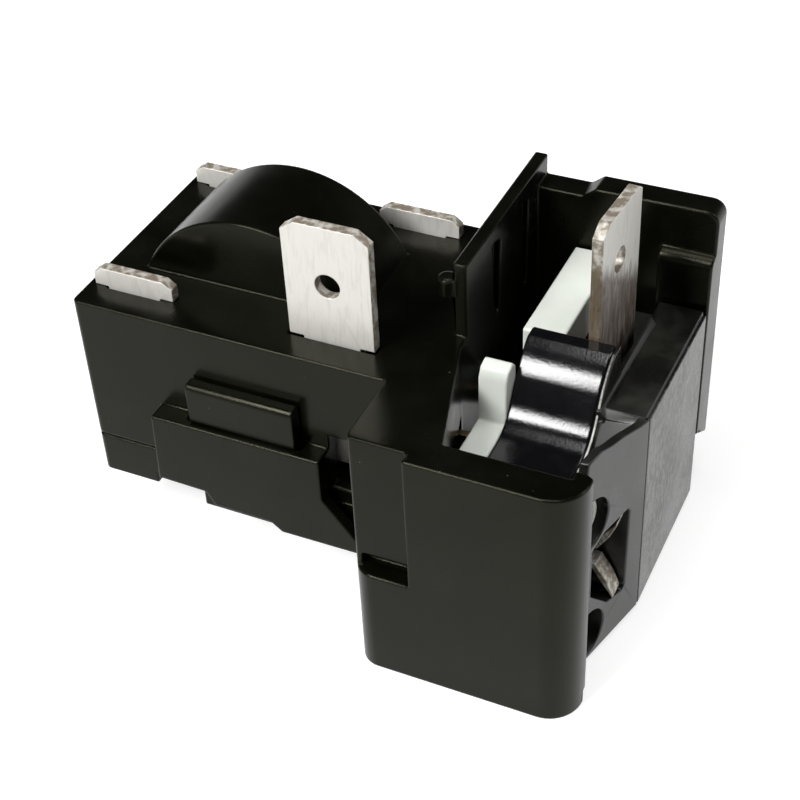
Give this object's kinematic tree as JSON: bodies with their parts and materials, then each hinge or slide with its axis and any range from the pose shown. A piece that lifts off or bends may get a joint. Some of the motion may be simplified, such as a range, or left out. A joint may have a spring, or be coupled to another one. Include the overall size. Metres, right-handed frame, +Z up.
{
  "type": "compressor start relay",
  "caption": "Plug-on start relay for a small sealed compressor: black moulded starter block with a ceramic pill under a dome, blade tabs and a carrier that holds an overload protector.",
  "frame": {"origin": "middle of the bottom of the relay's overall box", "axes": "+X from the starter block towards the side that plugs onto the compressor pins, +Y to the back, +Z up"},
  "size_m": [0.0402, 0.0276, 0.0287],
  "materials": {
    "housing_black": "black moulded plastic with a slight sheen",
    "protector_black": "polished black phenolic",
    "cover_grey": "satin dark grey phenolic",
    "insulator_white": "white moulded plastic",
    "tinned_tab": "tinned brass with worn brownish edges",
    "spring_brass": "spring brass",
    "pill_ceramic": "dark sintered ceramic",
    "frame_brown": "heat-proof moulding",
    "sheet_mica": "mica sheet",
    "bimetal": "rolled bimetal",
    "contact_silver": "silver contact",
    "heater_alloy": "resistance strip",
    "steel_post": "steel post"
  },
  "bodies": {
    "root": {"relay_housing": "housing_black", "bottom_cover": "housing_black", "starter_pill": "pill_ceramic", "front_contact_spring": "spring_brass", "rear_contact_spring": "spring_brass", "pill_frame": "frame_brown", "insulating_sheet": "sheet_mica", "tall_tab": "tinned_tab", "short_tab_left": "tinned_tab", "short_tab_rear_left": "tinned_tab", "short_tab_rear_right": "tinned_tab", "start_pin_socket": "spring_brass", "run_pin_socket": "spring_brass", "start_strap": "spring_brass", "run_strap": "spring_brass", "socket_carrier": "insulator_white", "protector_base": "protector_black", "protector_cover": "cover_grey", "protector_tab": "tinned_tab", "common_pin_socket": "tinned_tab", "bimetal_disc": "bimetal", "moving_contacts": "contact_silver", "fixed_contacts": "contact_silver", "bimetal_post": "steel_post", "calibration_nut": "spring_brass", "heater_strip": "heater_alloy"}
  },
  "joints": []
}
